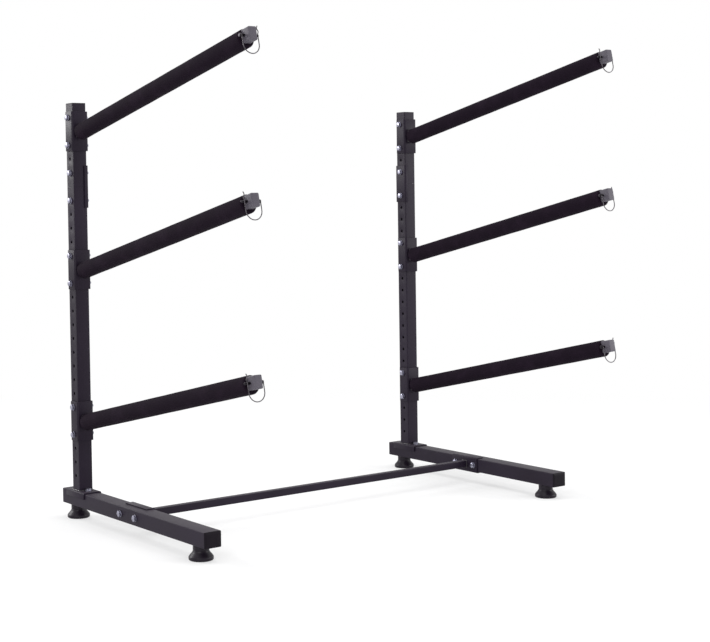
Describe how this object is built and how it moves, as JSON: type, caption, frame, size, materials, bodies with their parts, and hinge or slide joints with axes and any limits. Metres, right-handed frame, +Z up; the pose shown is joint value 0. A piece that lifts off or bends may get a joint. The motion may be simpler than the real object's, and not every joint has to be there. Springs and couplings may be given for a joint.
{
  "type": "kayak stand",
  "caption": "Free-standing storage stand for long narrow boats: two punched posts on floor bases with levelling feet, joined low by a crossbar, carry padded arms bolted at chosen heights.",
  "frame": {"origin": "on the floor, under the middle of the whole stand's own box", "axes": "+X along the stand from the left column to the right one, -Y the way the padded arms reach, +Z up"},
  "size_m": [1.554, 1.1628, 1.5792],
  "materials": {
    "black_coat": "satin black powder coat on steel tube and bent plate",
    "black_plastic": "semi-gloss moulded black plastic",
    "grey_plastic": "satin grey moulded plastic cap",
    "black_foam": "matte black closed-cell foam sleeve",
    "zinc": "bright zinc-plated steel fasteners",
    "wire_steel": "dull grey spring wire and turned steel pins"
  },
  "bodies": {
    "frame": {"base_tube_left": "black_coat", "base_end_cap_left_rear": "black_plastic", "base_end_cap_left_front": "black_plastic", "lower_post_left": "black_coat", "upper_post_left": "black_coat", "post_splice_left": "black_coat", "arm_left_top": "black_coat", "arm_bolt_left_top_lower": "zinc", "arm_bolt_left_top_upper": "zinc", "foam_sleeve_left_top": "black_foam", "arm_end_cap_left_top": "grey_plastic", "lock_pin_left_top": "wire_steel", "base_tube_right": "black_coat", "base_end_cap_right_rear": "black_plastic", "base_end_cap_right_front": "black_plastic", "lower_post_right": "black_coat", "upper_post_right": "black_coat", "post_splice_right": "black_coat", "arm_right_top": "black_coat", "arm_bolt_right_top_lower": "zinc", "arm_bolt_right_top_upper": "zinc", "foam_sleeve_right_top": "black_foam", "arm_end_cap_right_top": "grey_plastic", "lock_pin_right_top": "wire_steel", "crossbar": "black_coat"},
    "arm_left_low_body": {"arm_left_low": "black_coat", "arm_bolt_left_low_lower": "zinc", "arm_bolt_left_low_upper": "zinc", "foam_sleeve_left_low": "black_foam", "arm_end_cap_left_low": "grey_plastic", "lock_pin_left_low": "wire_steel"},
    "arm_left_mid_body": {"arm_left_mid": "black_coat", "arm_bolt_left_mid_lower": "zinc", "arm_bolt_left_mid_upper": "zinc", "foam_sleeve_left_mid": "black_foam", "arm_end_cap_left_mid": "grey_plastic", "lock_pin_left_mid": "wire_steel"},
    "arm_right_low_body": {"arm_right_low": "black_coat", "arm_bolt_right_low_lower": "zinc", "arm_bolt_right_low_upper": "zinc", "foam_sleeve_right_low": "black_foam", "arm_end_cap_right_low": "grey_plastic", "lock_pin_right_low": "wire_steel"},
    "arm_right_mid_body": {"arm_right_mid": "black_coat", "arm_bolt_right_mid_lower": "zinc", "arm_bolt_right_mid_upper": "zinc", "foam_sleeve_right_mid": "black_foam", "arm_end_cap_right_mid": "grey_plastic", "lock_pin_right_mid": "wire_steel"},
    "lock_wire_left_low_body": {"lock_wire_left_low": "wire_steel"},
    "lock_wire_left_mid_body": {"lock_wire_left_mid": "wire_steel"},
    "lock_wire_left_top_body": {"lock_wire_left_top": "wire_steel"},
    "lock_wire_right_low_body": {"lock_wire_right_low": "wire_steel"},
    "lock_wire_right_mid_body": {"lock_wire_right_mid": "wire_steel"},
    "lock_wire_right_top_body": {"lock_wire_right_top": "wire_steel"},
    "foot_left_rear_body": {"levelling_foot_left_rear": "black_plastic"},
    "foot_left_front_body": {"levelling_foot_left_front": "black_plastic"},
    "foot_right_rear_body": {"levelling_foot_right_rear": "black_plastic"},
    "foot_right_front_body": {"levelling_foot_right_front": "black_plastic"}
  },
  "joints": [
    {"name": "arm_height_left_low", "type": "slide", "parent": "frame", "child": "arm_left_low_body", "axis": [0, 0, 1], "range_m": [-0.141, 0.141]},
    {"name": "arm_height_left_mid", "type": "slide", "parent": "frame", "child": "arm_left_mid_body", "axis": [0, 0, 1], "range_m": [-0.188, 0.094]},
    {"name": "arm_height_right_low", "type": "slide", "parent": "frame", "child": "arm_right_low_body", "axis": [0, 0, 1], "range_m": [-0.141, 0.141]},
    {"name": "arm_height_right_mid", "type": "slide", "parent": "frame", "child": "arm_right_mid_body", "axis": [0, 0, 1], "range_m": [-0.188, 0.094]},
    {"name": "lock_wire_left_low_swing", "type": "hinge", "parent": "arm_left_low_body", "child": "lock_wire_left_low_body", "pos_m": [-0.7103, -0.55349, 0.56266], "axis": [0, -0.9763, 0.2164], "range_deg": [0, 100]},
    {"name": "lock_wire_left_mid_swing", "type": "hinge", "parent": "arm_left_mid_body", "child": "lock_wire_left_mid_body", "pos_m": [-0.7103, -0.55349, 1.07966], "axis": [0, -0.9763, 0.2164], "range_deg": [0, 100]},
    {"name": "lock_wire_left_top_swing", "type": "hinge", "parent": "frame", "child": "lock_wire_left_top_body", "pos_m": [-0.7653, -0.55349, 1.54966], "axis": [0, 0.9763, -0.2164], "range_deg": [0, 100]},
    {"name": "lock_wire_right_low_swing", "type": "hinge", "parent": "arm_right_low_body", "child": "lock_wire_right_low_body", "pos_m": [0.7047, -0.55349, 0.56266], "axis": [0, 0.9763, -0.2164], "range_deg": [0, 100]},
    {"name": "lock_wire_right_mid_swing", "type": "hinge", "parent": "arm_right_mid_body", "child": "lock_wire_right_mid_body", "pos_m": [0.7047, -0.55349, 1.07966], "axis": [0, 0.9763, -0.2164], "range_deg": [0, 100]},
    {"name": "lock_wire_right_top_swing", "type": "hinge", "parent": "frame", "child": "lock_wire_right_top_body", "pos_m": [0.7597, -0.55349, 1.54966], "axis": [0, -0.9763, 0.2164], "range_deg": [0, 100]},
    {"name": "foot_screw_left_rear", "type": "slide", "parent": "frame", "child": "foot_left_rear_body", "axis": [0, 0, -1], "range_m": [0, 0.02]},
    {"name": "foot_screw_left_front", "type": "slide", "parent": "frame", "child": "foot_left_front_body", "axis": [0, 0, -1], "range_m": [0, 0.02]},
    {"name": "foot_screw_right_rear", "type": "slide", "parent": "frame", "child": "foot_right_rear_body", "axis": [0, 0, -1], "range_m": [0, 0.02]},
    {"name": "foot_screw_right_front", "type": "slide", "parent": "frame", "child": "foot_right_front_body", "axis": [0, 0, -1], "range_m": [0, 0.02]}
  ]
}
